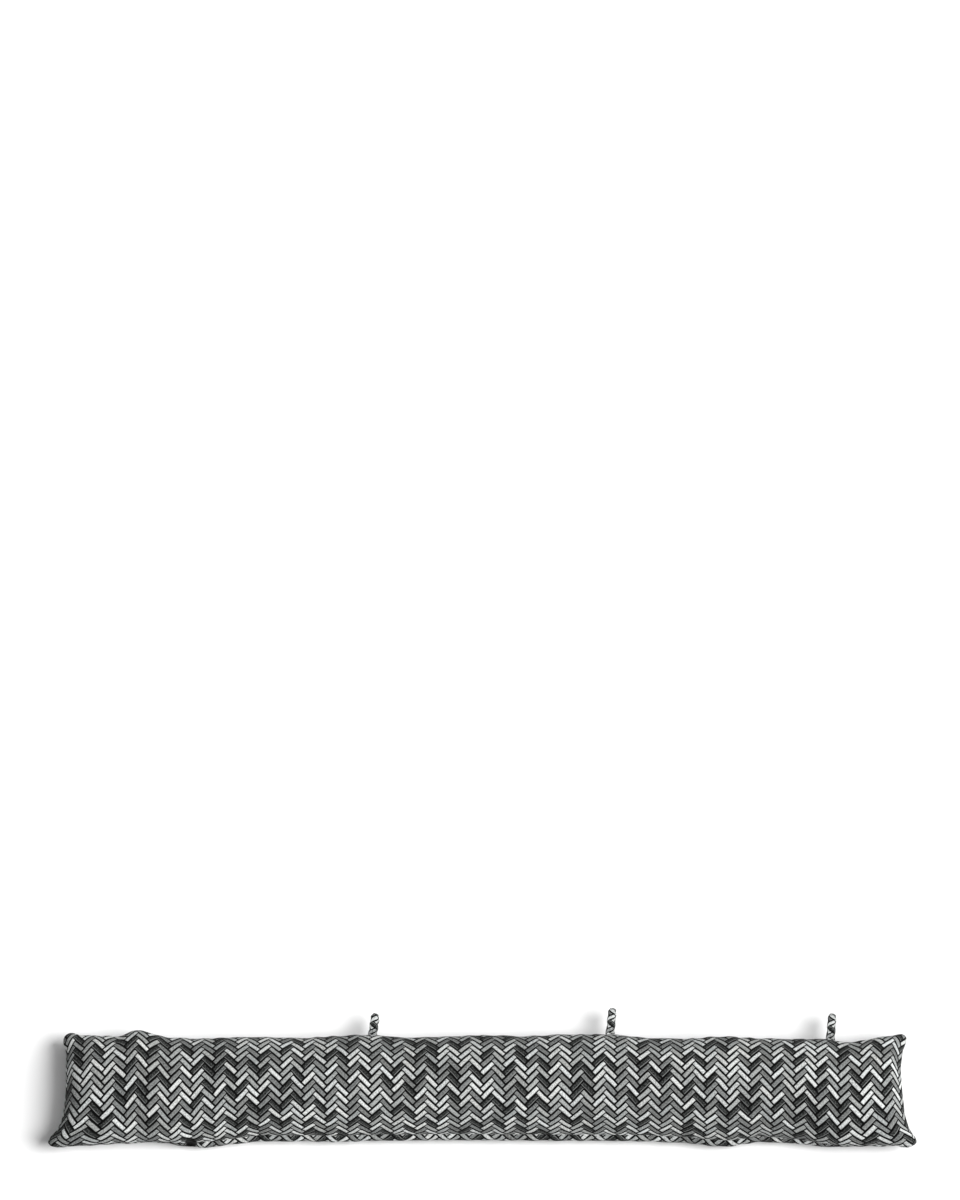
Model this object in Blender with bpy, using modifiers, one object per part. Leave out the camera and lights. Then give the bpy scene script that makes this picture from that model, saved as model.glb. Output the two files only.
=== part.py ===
"""Draught excluder: a long stuffed cushion with three hanging loops, lying on its back.

Metres, +Z up. X runs along the length, Y across the face toward the edge that carries the loops, and
Z comes out of the face. The origin is the centre of the flat strip that the cushion rests on.
"""

import math
from collections import namedtuple

import bmesh
import bpy
from mathutils import Vector

# ---------------------------------------------------------------- driving dimensions
LENGTH = 0.900            # corner to corner along the front edge
CORNER_ROUNDING = 0.003   # what smoothing takes off each corner's tip
END_SEAM_HEIGHT = 0.029   # the two end seams, above the surface
END_THICKNESS = 0.0036    # both panels together at an end seam
END_ROUND_RUN = 0.038     # from an end seam to where the cushion has its full height
END_BEND_RUN = 0.070      # how far in from an end the sections still follow its seam's bend
SINK = 0.0032             # how much of the round underside is pressed flat
ARC_STEPS = 12            # cage steps across each panel, seam to seam
SURFACE_DEPTH = 0.040     # of the block under the cushion that flattens it
SURFACE_WIDTH = 0.300
GAP = 0.0003              # clear space between a loop and the cushion
SEAM_SEAT = 0.0006        # a loop starts this far inside the widest point, at the seam

STRAP_WIDTH = 0.0085
STRAP_THICKNESS = 0.0030
STRAP_CORNERS = 10            # round the strap's section
STRAP_BASE_SPREAD = 0.0018    # half the distance between the two legs where they leave the seam
LOOP_EYE_RADIUS = 0.0050      # to the middle of the strap, at the turn
LOOP_SPREAD_RUN = 0.0150      # the legs reach the eye's width this far from the seam
LEG_STEPS = 7
TURN_STEPS = 8

# One row per section of the cushion: its place along X, the Y of the loop edge and of the front edge,
# the height of the crown, and the share to which the front edge's seam lies open to view, not tucked.
Section = namedtuple("Section", "x loop_edge front_edge crown seam_open")
SECTIONS = (
    Section(-0.4310, 0.0567, -0.0630, 0.0600, 0.00),
    Section(-0.4010, 0.0565, -0.0608, 0.0620, 0.00),
    Section(-0.3790, 0.0560, -0.0592, 0.0640, 0.00),
    Section(-0.3570, 0.0634, -0.0586, 0.0650, 0.00),
    Section(-0.3350, 0.0546, -0.0582, 0.0655, 0.00),
    Section(-0.3160, 0.0532, -0.0610, 0.0660, 0.18),
    Section(-0.3030, 0.0530, -0.0608, 0.0660, 0.45),
    Section(-0.2900, 0.0528, -0.0626, 0.0665, 0.82),
    Section(-0.2600, 0.0537, -0.0586, 0.0680, 1.00),
    Section(-0.2300, 0.0540, -0.0557, 0.0690, 1.00),
    Section(-0.1900, 0.0518, -0.0554, 0.0700, 1.00),
    Section(-0.1500, 0.0556, -0.0560, 0.0700, 1.00),
    Section(-0.1150, 0.0566, -0.0550, 0.0700, 1.00),
    Section(-0.0850, 0.0521, -0.0546, 0.0705, 1.00),
    Section(-0.0450, 0.0540, -0.0543, 0.0705, 1.00),
    Section(0.0000, 0.0587, -0.0543, 0.0705, 1.00),
    Section(0.0430, 0.0536, -0.0546, 0.0705, 1.00),
    Section(0.0850, 0.0578, -0.0548, 0.0700, 1.00),
    Section(0.1330, 0.0582, -0.0550, 0.0700, 1.00),
    Section(0.1750, 0.0517, -0.0556, 0.0700, 1.00),
    Section(0.2150, 0.0522, -0.0575, 0.0690, 1.00),
    Section(0.2500, 0.0562, -0.0611, 0.0680, 1.00),
    Section(0.2900, 0.0525, -0.0567, 0.0680, 0.82),
    Section(0.3250, 0.0521, -0.0583, 0.0670, 0.55),
    Section(0.3610, 0.0522, -0.0628, 0.0650, 0.18),
    Section(0.3820, 0.0487, -0.0623, 0.0640, 0.00),
    Section(0.4050, 0.0529, -0.0616, 0.0620, 0.00),
    Section(0.4310, 0.0571, -0.0621, 0.0600, 0.00),
)

# One row per corner of a section's cage, over the front panel from the front edge's seam to the loop
# edge's seam, then back under the back panel. Across runs from -1 at the front edge to 1 at the loop
# edge, lift from 0 at the underside to 1 at the crown, with the front edge's seam open, then tucked.
Corner = namedtuple("Corner", "open_across open_lift tucked_across tucked_lift")
PROFILE = (
    Corner(-0.903, 0.424, -0.929, 0.385),
    Corner(-0.817, 0.532, -1.000, 0.520),
    Corner(-0.682, 0.680, -0.919, 0.680),
    Corner(-0.502, 0.821, -0.749, 0.810),
    Corner(-0.304, 0.915, -0.532, 0.908),
    Corner(-0.088, 0.976, -0.284, 0.970),
    Corner(0.137, 1.000, -0.019, 1.000),
    Corner(0.353, 0.991, 0.254, 1.000),
    Corner(0.559, 0.938, 0.511, 0.954),
    Corner(0.752, 0.846, 0.735, 0.863),
    Corner(0.908, 0.727, 0.906, 0.737),
    Corner(1.000, 0.592, 1.000, 0.595),
    Corner(0.982, 0.451, 0.979, 0.453),
    Corner(0.996, 0.329, 0.993, 0.331),
    Corner(0.910, 0.188, 0.908, 0.188),
    Corner(0.766, 0.089, 0.767, 0.089),
    Corner(0.586, 0.024, 0.590, 0.024),
    Corner(0.335, 0.003, 0.343, 0.003),
    Corner(0.047, 0.000, 0.060, 0.000),
    Corner(-0.241, 0.000, -0.223, 0.000),
    Corner(-0.493, 0.005, -0.470, 0.005),
    Corner(-0.727, 0.054, -0.700, 0.051),
    Corner(-0.912, 0.154, -0.869, 0.134),
    Corner(-1.000, 0.296, -0.951, 0.243),
)

# One row per point of an end seam, seen from above: its place across the cushion, from -1 at the front
# edge to 1 at the loop edge, and how far each end's seam falls short of the full length there.
EndPoint = namedtuple("EndPoint", "across left right")
END_SEAM = (
    EndPoint(-1.00, 0.0050, 0.0050),
    EndPoint(-0.90, 0.0000, 0.0000),
    EndPoint(-0.70, 0.0100, 0.0090),
    EndPoint(-0.45, 0.0155, 0.0135),
    EndPoint(0.00, 0.0192, 0.0160),
    EndPoint(0.40, 0.0190, 0.0172),
    EndPoint(0.75, 0.0200, 0.0150),
    EndPoint(0.90, 0.0205, 0.0125),
    EndPoint(1.00, 0.0210, 0.0130),
)
END_INSETS = (0.0, 0.0015, 0.0050, 0.0110, 0.0200)    # extra sections, in from an end seam

# One row per loop: its place along the seam, how far it reaches from the seam, and its lean to the right.
Loop = namedtuple("Loop", "name x reach lean")
LOOPS = (
    Loop("loop_left", -0.1148, 0.0236, math.radians(8)),
    Loop("loop_middle", 0.1328, 0.0276, math.radians(6)),
    Loop("loop_right", 0.3624, 0.0280, math.radians(5)),
)


# ---------------------------------------------------------------- helpers
def clear_scene():
    """Remove whatever the file already holds."""
    for leftover in list(bpy.data.objects):
        bpy.data.objects.remove(leftover, do_unlink=True)


def make_material(name, color, roughness):
    """A plain finish for one sub-part."""
    material = bpy.data.materials.new(name)
    material.use_nodes = True
    shader = material.node_tree.nodes["Principled BSDF"]
    shader.inputs["Base Color"].default_value = (*color, 1.0)
    shader.inputs["Roughness"].default_value = roughness
    shader.inputs["Metallic"].default_value = 0.0
    return material


def blend(low, high, share):
    """A value between two others."""
    return low + (high - low) * share


def ease(share):
    """0 to 1 with a level start and end."""
    share = min(1.0, max(0.0, share))
    return share * share * (3.0 - 2.0 * share)


def read_table(rows, key, column, value):
    """A table's column at a value of its key, on straight runs between its rows."""
    for first, second in zip(rows, rows[1:]):
        low, high = getattr(first, key), getattr(second, key)
        if value <= high:
            share = min(1.0, max(0.0, (value - low) / (high - low)))
            return blend(getattr(first, column), getattr(second, column), share)
    return getattr(rows[-1], column)


def section_at(x):
    """The cushion's section at any place along X."""
    values = [read_table(SECTIONS, "x", column, x) for column in Section._fields[1:]]
    return Section(x, *values)


def signed_power(value, power):
    """A power that keeps the sign."""
    return math.copysign(abs(value) ** power, value)


# ---------------------------------------------------------------- cushion
def mean_short(end):
    """How far an end seam falls short of the full length, on average."""
    return sum(getattr(point, end) for point in END_SEAM) / len(END_SEAM)


def end_reach(end):
    """An end seam's mean distance from the cushion's middle."""
    return LENGTH / 2 + CORNER_ROUNDING - mean_short(end)


def fill_at(inset):
    """The share of its full height that the stuffing gives a section, a quarter round at each end."""
    return math.sqrt(1.0 - max(0.0, 1.0 - inset / END_ROUND_RUN) ** 2)


def section_ring(x):
    """Corner places of one section; near an end it thins out and bends along the end seam."""
    section = section_at(x)
    end, outward = ("left", -1.0) if x < 0 else ("right", 1.0)
    inset = end_reach(end) - abs(x)
    fill = fill_at(inset)
    hold = 1.0 - ease(inset / END_BEND_RUN)
    half_width = (section.loop_edge - section.front_edge) / 2
    middle = (section.loop_edge + section.front_edge) / 2
    ring = []
    for index, corner in enumerate(PROFILE):
        across = blend(corner.tucked_across, corner.open_across, section.seam_open)
        lift = blend(corner.tucked_lift, corner.open_lift, section.seam_open)
        panel_side = 0.0 if index in (0, ARC_STEPS) else math.copysign(END_THICKNESS / 2, ARC_STEPS - index)
        height = blend(END_SEAM_HEIGHT + panel_side, blend(-SINK, section.crown, lift), fill)
        bend = (mean_short(end) - read_table(END_SEAM, "across", end, across)) * hold
        ring.append((x + outward * bend, middle + half_width * across, height))
    return ring


def section_places():
    """Every section's place along X, from the left end seam to the right one."""
    places = [section.x for section in SECTIONS]
    for inset in END_INSETS:
        places += [inset - end_reach("left"), end_reach("right") - inset]
    return sorted(places)


def close_end(shape, ring):
    """Join the front panel's edge of an end ring to the back panel's edge."""
    count = len(ring)
    for step in range(ARC_STEPS):
        below, below_next = ring[(count - step) % count], ring[count - step - 1]
        corners = dict.fromkeys((ring[step], ring[step + 1], below_next, below))
        shape.faces.new(tuple(corners))


def build_surface_cutter():
    """The block that stands for the surface and takes off what the cushion's weight presses flat."""
    shape = bmesh.new()
    bmesh.ops.create_cube(shape, size=1.0)
    bmesh.ops.scale(shape, vec=(LENGTH * 1.2, SURFACE_WIDTH, SURFACE_DEPTH), verts=shape.verts)
    bmesh.ops.translate(shape, vec=(0.0, 0.0, -SURFACE_DEPTH / 2), verts=shape.verts)
    mesh = bpy.data.meshes.new("surface_cutter")
    shape.to_mesh(mesh)
    shape.free()
    cutter = bpy.data.objects.new("surface_cutter", mesh)
    cutter.hide_render = True
    cutter.display_type = "WIRE"
    cutters = bpy.data.collections.new("cutters")
    bpy.context.scene.collection.children.link(cutters)
    cutters.objects.link(cutter)
    return cutter


def build_cushion(collection, material):
    """Front and back panel, sewn round and stuffed, as one solid."""
    shape = bmesh.new()
    rings = [[shape.verts.new(place) for place in section_ring(x)] for x in section_places()]
    for first, second in zip(rings, rings[1:]):
        for step in range(len(first)):
            after = (step + 1) % len(first)
            shape.faces.new((first[step], first[after], second[after], second[step]))
    close_end(shape, rings[0])
    close_end(shape, rings[-1])
    bmesh.ops.recalc_face_normals(shape, faces=shape.faces)
    mesh = bpy.data.meshes.new("cushion_body")
    shape.to_mesh(mesh)
    shape.free()
    mesh.shade_smooth()
    mesh.materials.append(material)
    cushion = bpy.data.objects.new("cushion_body", mesh)
    collection.objects.link(cushion)
    rounding = cushion.modifiers.new("Stuffing", "SUBSURF")
    rounding.levels = 1
    rounding.render_levels = 1
    rest = cushion.modifiers.new("Rest", "BOOLEAN")
    rest.operation = "DIFFERENCE"
    rest.solver = "EXACT"
    rest.object = build_surface_cutter()


# ---------------------------------------------------------------- loops
def loop_line(reach):
    """The strap's middle line, as (outward, up) places from one end round the eye to the other."""
    eye = reach - LOOP_EYE_RADIUS - STRAP_THICKNESS / 2
    leg = []
    for step in range(LEG_STEPS):
        outward = eye * step / LEG_STEPS
        leg.append((outward, blend(STRAP_BASE_SPREAD, LOOP_EYE_RADIUS, ease(outward / LOOP_SPREAD_RUN))))
    turn = []
    for step in range(TURN_STEPS + 1):
        angle = math.pi / 2 - math.pi * step / TURN_STEPS
        turn.append((eye + LOOP_EYE_RADIUS * math.cos(angle), LOOP_EYE_RADIUS * math.sin(angle)))
    return leg + turn + [(outward, -up) for outward, up in reversed(leg)]


def strap_section():
    """The strap's soft section, as (along its width, through its thickness) corners."""
    corners = []
    for step in range(STRAP_CORNERS):
        angle = math.tau * step / STRAP_CORNERS
        wide = signed_power(math.cos(angle), 0.6) * STRAP_WIDTH / 2
        thick = signed_power(math.sin(angle), 0.8) * STRAP_THICKNESS / 2
        corners.append((wide, thick))
    return corners


def build_loop(loop, collection, material):
    """One rolled strap folded double, its two ends at the long seam."""
    line = [Vector((0.0, outward, up)) for outward, up in loop_line(loop.reach)]
    shape = bmesh.new()
    rings = []
    for index, place in enumerate(line):
        ahead = line[min(index + 1, len(line) - 1)] - line[max(index - 1, 0)]
        across = Vector((1.0, 0.0, 0.0)).cross(ahead.normalized())
        corners = [place + Vector((wide, 0.0, 0.0)) + across * thick for wide, thick in strap_section()]
        rings.append([shape.verts.new(corner) for corner in corners])
    for first, second in zip(rings, rings[1:]):
        bmesh.ops.bridge_loops(shape, edges=ring_edges(shape, first) + ring_edges(shape, second))
    for ring in (rings[0], rings[-1]):
        bmesh.ops.contextual_create(shape, geom=ring)
    bmesh.ops.recalc_face_normals(shape, faces=shape.faces)
    mesh = bpy.data.meshes.new(loop.name)
    shape.to_mesh(mesh)
    shape.free()
    mesh.shade_smooth()
    mesh.materials.append(material)
    strap = bpy.data.objects.new(loop.name, mesh)
    strap.location = (loop.x, section_at(loop.x).loop_edge - SEAM_SEAT + GAP, END_SEAM_HEIGHT)
    strap.rotation_euler = (0.0, 0.0, -loop.lean)
    collection.objects.link(strap)


def ring_edges(shape, ring):
    """The closed chain of edges through a ring's corners."""
    edges = []
    for first, second in zip(ring, ring[1:] + ring[:1]):
        edges.append(shape.edges.get((first, second)) or shape.edges.new((first, second)))
    return edges


def main():
    """Build every sub-part."""
    clear_scene()
    collection = bpy.data.collections.new("draught_excluder")
    bpy.context.scene.collection.children.link(collection)
    cloth = make_material("herringbone_cloth", (0.19, 0.195, 0.19), 0.92)
    strap_cloth = make_material("strap_cloth", (0.15, 0.155, 0.15), 0.92)
    build_cushion(collection, cloth)
    for loop in LOOPS:
        build_loop(loop, collection, strap_cloth)


main()
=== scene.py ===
"""Looks of the draught excluder: a long stuffed herringbone cushion with three hanging loops."""

import logging
import math
from dataclasses import dataclass
from enum import Enum

import bmesh
import bpy
import numpy as np
from mathutils import Matrix, Vector
from mathutils.kdtree import KDTree


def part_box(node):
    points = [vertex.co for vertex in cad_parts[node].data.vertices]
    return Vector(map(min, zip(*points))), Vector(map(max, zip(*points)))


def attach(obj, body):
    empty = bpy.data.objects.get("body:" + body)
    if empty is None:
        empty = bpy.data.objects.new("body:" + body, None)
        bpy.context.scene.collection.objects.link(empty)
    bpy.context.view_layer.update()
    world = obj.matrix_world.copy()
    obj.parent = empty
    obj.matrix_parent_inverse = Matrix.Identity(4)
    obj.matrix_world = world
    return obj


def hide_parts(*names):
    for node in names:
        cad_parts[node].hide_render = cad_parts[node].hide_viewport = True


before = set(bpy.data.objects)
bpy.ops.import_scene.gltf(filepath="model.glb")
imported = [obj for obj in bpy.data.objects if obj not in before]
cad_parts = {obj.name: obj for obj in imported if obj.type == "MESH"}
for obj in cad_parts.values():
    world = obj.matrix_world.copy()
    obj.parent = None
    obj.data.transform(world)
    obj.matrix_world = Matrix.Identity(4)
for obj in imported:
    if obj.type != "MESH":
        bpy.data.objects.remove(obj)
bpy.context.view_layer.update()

logging.basicConfig(level=logging.INFO, format="%(message)s")
LOG = logging.getLogger("draught_excluder")

CLOTH_MAP = "Cloth"
# How far the draw of a bar's yarn moves on from one bar to the next: along a row of bars, from row
# to row, and from a rising bar to a falling one.
BAR_STEP = (0.618, 0.382, 0.500)
BAKE_MAP = "OFBake"
FLAT_CUT = "flat_cut"


# ---------------------------------------------------------------- shader expressions
class Bench:
    """Adds nodes to one material's tree."""

    def __init__(self, tree: bpy.types.NodeTree) -> None:
        """Start on an empty tree.

        Args:
            tree: The material's node tree.
        """
        self.tree = tree
        tree.nodes.clear()

    def node(self, kind: str, settings: dict | None = None, inputs: dict | None = None) -> bpy.types.Node:
        """Add a node, set it up, then fill its sockets.

        Args:
            kind: The node's type name.
            settings: Values of the node's own properties; "ramp" holds a ramp's stops.
            inputs: Values or links of its sockets, by name or place.

        Returns:
            The new node.
        """
        made = self.tree.nodes.new(kind)
        for name, value in (settings or {}).items():
            if name == "ramp":
                self._fill_ramp(made.color_ramp, value)
            else:
                setattr(made, name, value)
        for name, value in (inputs or {}).items():
            self._feed(made.inputs[name], value)
        return made

    def math(self, operation: str, *values: object) -> "Value":
        """Add a Math node.

        Args:
            operation: The node's operation.
            values: Its inputs, in order.

        Returns:
            The result as an expression.
        """
        made = self.node("ShaderNodeMath", {"operation": operation}, dict(enumerate(values)))
        return Value(self, made.outputs[0])

    def value(self, socket: bpy.types.NodeSocket) -> "Value":
        """Wrap a socket as an expression."""
        return Value(self, socket)

    def _feed(self, socket: bpy.types.NodeSocket, value: object) -> None:
        """Link or set one socket.

        Args:
            socket: The socket to fill.
            value: A Value, a socket or a plain value.
        """
        if isinstance(value, Value):
            self.tree.links.new(value.socket, socket)
        elif isinstance(value, bpy.types.NodeSocket):
            self.tree.links.new(value, socket)
        else:
            socket.default_value = value

    @staticmethod
    def _fill_ramp(ramp: bpy.types.ColorRamp, stops: dict) -> None:
        """Give a ramp its stops.

        Args:
            ramp: The ramp.
            stops: Its interpolation, and a list of (place, color).
        """
        ramp.interpolation = stops["interpolation"]
        while len(ramp.elements) < len(stops["stops"]):
            ramp.elements.new(1.0)
        for element, (place, color) in zip(ramp.elements, stops["stops"]):
            element.position = place
            element.color = (*color, 1.0)


class Value:
    """A number carried by a socket; arithmetic on it adds Math nodes."""

    def __init__(self, bench: Bench, socket: bpy.types.NodeSocket) -> None:
        """Wrap a socket.

        Args:
            bench: Where new nodes go.
            socket: The socket that holds the number.
        """
        self.bench = bench
        self.socket = socket

    def __add__(self, other: object) -> "Value":
        """Sum."""
        return self.bench.math("ADD", self, other)

    __radd__ = __add__

    def __sub__(self, other: object) -> "Value":
        """Difference."""
        return self.bench.math("SUBTRACT", self, other)

    def __rsub__(self, other: object) -> "Value":
        """Difference, the other way round."""
        return self.bench.math("SUBTRACT", other, self)

    def __mul__(self, other: object) -> "Value":
        """Product."""
        return self.bench.math("MULTIPLY", self, other)

    __rmul__ = __mul__

    def __truediv__(self, other: object) -> "Value":
        """Quotient."""
        return self.bench.math("DIVIDE", self, other)

    def __gt__(self, other: object) -> "Value":
        """1 where this is more than the other, else 0."""
        return self.bench.math("GREATER_THAN", self, other)

    def __lt__(self, other: object) -> "Value":
        """1 where this is less than the other, else 0."""
        return self.bench.math("LESS_THAN", self, other)

    def floor(self) -> "Value":
        """The whole number below."""
        return self.bench.math("FLOOR", self)

    def rise(self, low: float, high: float) -> "Value":
        """0 below low, 1 above high, smooth between.

        Args:
            low: Where the rise starts.
            high: Where it ends.

        Returns:
            The eased share.
        """
        made = self.bench.node(
            "ShaderNodeMapRange",
            {"interpolation_type": "SMOOTHSTEP"},
            {"Value": self, "From Min": low, "From Max": high},
        )
        return Value(self.bench, made.outputs["Result"])

    def choose(self, yes: "Value", no: "Value") -> "Value":
        """Where this is 1 take one value, else the other.

        Args:
            yes: The value where this is 1.
            no: The value where this is 0.

        Returns:
            The chosen value.
        """
        return no + (yes - no) * self


# ---------------------------------------------------------------- cloth finish
class Yarn(Enum):
    """The four yarns that the bars are woven in: (share of the bars, linear color)."""

    CHARCOAL = (0.19, (0.022, 0.024, 0.023))
    SLATE = (0.23, (0.167, 0.173, 0.170))
    SILVER = (0.26, (0.332, 0.344, 0.338))
    CHALK = (0.32, (0.562, 0.576, 0.568))


@dataclass(frozen=True)
class HerringboneCloth:
    """Thick cloth woven as short bars in zigzag rows, each bar outlined in black."""

    name: str
    bar_length: float = 0.0164
    bar_width: float = 0.00595
    outline: tuple[float, float, float] = (0.0020, 0.0021, 0.0021)
    border: tuple[float, float, float] = (0.285, 0.294, 0.289)
    relief: float = 0.00045
    spread: float = 0.55
    # Centre of a spot of painted shade where the seam is pinched shut, darkened in the colour; None for no
    # spot.
    shade_spot: tuple[float, float, float] | None = None
    # Sizes of that painted shade spot along X, Y and Z, in metres.
    shade_spot_size: tuple[float, float, float] = (0.0070, 0.0040, 0.0160)

    def material(self) -> bpy.types.Material:
        """Make the woven finish on the cloth's own map, whose units are metres.

        Returns:
            The material.
        """
        made = bpy.data.materials.new(self.name)
        made.use_nodes = True
        bench = Bench(made.node_tree)
        along, across, u, v = self._cloth_places(bench)
        bar = self._bars(along, across)
        color, fleck = self._color(bench, bar, u, v)
        height = self._height(bench, bar, fleck)
        shader = bench.node(
            "ShaderNodeBsdfPrincipled",
            inputs={
                "Base Color": color,
                "Roughness": 0.86 + fleck * 0.12,
                "Sheen Weight": 0.02,
                "Sheen Roughness": 0.5,
                "Specular IOR Level": 0.04,
                "Normal": height,
            },
        )
        bench.node("ShaderNodeOutputMaterial", inputs={"Surface": shader.outputs["BSDF"]})
        return made

    def _cloth_places(self, bench: Bench) -> tuple[Value, Value, Value, Value]:
        """Places on the cloth, turned so that the bars run along the two new axes.

        Args:
            bench: Where nodes go.

        Returns:
            Along a rising bar, along a falling bar, and the two plain places on the cloth.
        """
        place = bench.node("ShaderNodeUVMap", {"uv_map": CLOTH_MAP})
        parts = bench.node("ShaderNodeSeparateXYZ", inputs={0: place.outputs["UV"]})
        u, v = bench.value(parts.outputs["X"]), bench.value(parts.outputs["Y"])
        wander = bench.node(
            "ShaderNodeTexNoise",
            {"noise_dimensions": "2D"},
            {"Vector": place.outputs["UV"], "Scale": 55.0, "Detail": 2.0},
        )
        drift = (bench.value(wander.outputs["Fac"]) - 0.5) * 0.0014
        root = math.sqrt(0.5)
        return (u + v) * root + drift, (v - u) * root - drift, u, v

    def _bars(self, p: Value, q: Value) -> dict[str, Value]:
        """Find the bar at each place.

        Args:
            p: Place along the rising bars.
            q: Place along the falling bars.

        Returns:
            Each bar's own numbers: which bar it is, and the places along and across it, as shares.
        """
        length, width = self.bar_length, self.bar_width
        pair = (p - q) / (2 * length)
        rise_i = (pair + width / (2 * length)).floor()
        rise_j = ((q + rise_i * length) / width).floor()
        rise_along = p - rise_i * length - rise_j * width
        rise_across = q + rise_i * length - rise_j * width
        fall_i = pair.floor()
        fall_j = ((p - fall_i * length - length) / width).floor()
        fall_across = p - fall_i * length - fall_j * width - length
        fall_along = q + fall_i * length - fall_j * width - width + length
        rising = (rise_along > 0.0) * (rise_along < length)
        return {
            "i": rising.choose(rise_i, fall_i),
            "j": rising.choose(rise_j, fall_j),
            "rising": rising,
            "along": rising.choose(rise_along, fall_along) / length,
            "across": rising.choose(rise_across, fall_across) / width,
        }

    def _outline_mask(self, bar: dict[str, Value]) -> tuple[Value, Value]:
        """Where a bar is clear of its black outline, and where its pale lower border runs.

        Args:
            bar: The bar's numbers.

        Returns:
            The clear mask and the border mask.
        """
        across, along = bar["across"], bar["along"]
        clear = across.rise(0.08, 0.16) * (1.0 - across.rise(0.70, 0.80))
        ends = along.rise(0.012, 0.045) * (1.0 - along.rise(0.945, 0.985))
        border = across.rise(0.09, 0.14) * (1.0 - across.rise(0.18, 0.27))
        return clear * ends, border

    def _color(self, bench: Bench, bar: dict[str, Value], u: Value, v: Value) -> tuple[object, Value]:
        """Color every bar in its yarn, with flecks, its border and its outline, a broad random tone, and
        painted shade in the seam's pinched hollow where the cloth has one.

        Args:
            bench: Where nodes go.
            bar: The bar's numbers.
            u: Place along the cloth.
            v: Place across the cloth.

        Returns:
            The color's socket and the fleck value.
        """
        which = bench.node(
            "ShaderNodeCombineXYZ", inputs={0: bar["i"], 1: bar["j"], 2: bar["rising"] * 7.0 + 0.5}
        )
        chance = bench.node(
            "ShaderNodeTexWhiteNoise", {"noise_dimensions": "3D"}, {"Vector": which.outputs[0]}
        )
        lattice = bar["j"] * BAR_STEP[0] + bar["i"] * BAR_STEP[1] + bar["rising"] * BAR_STEP[2]
        draw = bench.math("FRACT", lattice + bench.value(chance.outputs["Value"]) * self.spread)
        place, stops = 0.0, []
        for yarn in Yarn:
            share, color = yarn.value
            stops.append((place, color))
            place += share
        yarn_color = bench.node(
            "ShaderNodeValToRGB", {"ramp": {"interpolation": "CONSTANT", "stops": stops}}, {"Fac": draw}
        )
        cloth_place = bench.node("ShaderNodeCombineXYZ", inputs={0: u, 1: v})
        grain = bench.node(
            "ShaderNodeTexNoise",
            {"noise_dimensions": "2D"},
            {"Vector": cloth_place.outputs[0], "Scale": 620.0, "Detail": 2.0, "Roughness": 0.9},
        )
        fleck = bench.value(grain.outputs["Fac"]).rise(0.34, 0.66)
        tint_parts = bench.node("ShaderNodeSeparateXYZ", inputs={0: chance.outputs["Color"]})
        shade = 0.80 + bench.value(tint_parts.outputs["Y"]) * 0.30 + (fleck - 0.5) * 0.78
        warm = (bench.value(tint_parts.outputs["Z"]) - 0.5) * 0.024
        tint = bench.node(
            "ShaderNodeCombineXYZ", inputs={0: shade * (1.0 + warm), 1: shade, 2: shade * (1.0 - warm)}
        )
        toned = self._vector(bench, "MULTIPLY", yarn_color.outputs["Color"], tint.outputs[0])
        flecked = self._mix(bench, fleck.rise(0.6, 1.0) * 0.22, toned, self.border)
        clear, border = self._outline_mask(bar)
        bordered = self._mix(bench, border * 0.62, flecked, self.border)
        inked = self._mix(bench, clear, self.outline, bordered)
        soft = bench.node(
            "ShaderNodeTexNoise",
            {"noise_dimensions": "2D"},
            {"Vector": cloth_place.outputs[0], "Scale": 14.0, "Detail": 2.0},
        )
        # A broad random tone over the cloth.
        wear_and_pinch_shade = 0.90 + bench.value(soft.outputs["Fac"]) * 0.20
        # Painted shade: the colour goes almost black in the pinched hollow by the front seam, standing in
        # for its shadow.
        if self.shade_spot:
            wear_and_pinch_shade = wear_and_pinch_shade * self._pinch_shade(bench)
        worn_and_shaded = bench.node("ShaderNodeCombineXYZ", inputs={0: wear_and_pinch_shade, 1: wear_and_pinch_shade, 2: wear_and_pinch_shade})
        return self._vector(bench, "MULTIPLY", inked, worn_and_shaded.outputs[0]), fleck

    def _pinch_shade(self, bench: Bench) -> Value:
        """Painted shade: dark in the small hollow where the seam is pinched shut, standing in for the shadow
        there.

        Args:
            bench: Where nodes go.

        Returns:
            A factor that is near 0 in the hollow and 1 away from it.
        """
        spot = bench.node("ShaderNodeTexCoord").outputs["Object"]
        parts = bench.node("ShaderNodeSeparateXYZ", inputs={0: spot})
        across, out, up = (
            (bench.value(parts.outputs[axis]) - middle) / size
            for axis, middle, size in zip("XYZ", self.shade_spot, self.shade_spot_size)
        )
        away = across * across + out * out + up * up
        return 0.03 + away.rise(0.7, 1.15) * 0.97

    def _height(self, bench: Bench, bar: dict[str, Value], fleck: Value) -> bpy.types.NodeSocket:
        """The bars stand out of the cloth between their outlines, with a yarn grain on them.

        Args:
            bench: Where nodes go.
            bar: The bar's numbers.
            fleck: The fleck value.

        Returns:
            The normal's socket.
        """
        across, along = bar["across"], bar["along"]
        crown = across.rise(0.0, 0.28) * (1.0 - across.rise(0.62, 0.98))
        ends = along.rise(0.0, 0.07) * (1.0 - along.rise(0.93, 1.0))
        ribs = bench.math("SINE", along * (self.bar_length / 0.0011 * math.tau)) * 0.06
        level = crown * ends + ribs + fleck * 0.22
        bump = bench.node(
            "ShaderNodeBump", inputs={"Strength": 0.8, "Distance": self.relief, "Height": level}
        )
        return bump.outputs["Normal"]

    @staticmethod
    def _vector(bench: Bench, operation: str, first: object, second: object) -> bpy.types.NodeSocket:
        """Add a Vector Math node.

        Args:
            bench: Where nodes go.
            operation: The node's operation.
            first: Its first vector.
            second: Its second vector.

        Returns:
            The result's socket.
        """
        return bench.node("ShaderNodeVectorMath", {"operation": operation}, {0: first, 1: second}).outputs[0]

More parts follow.
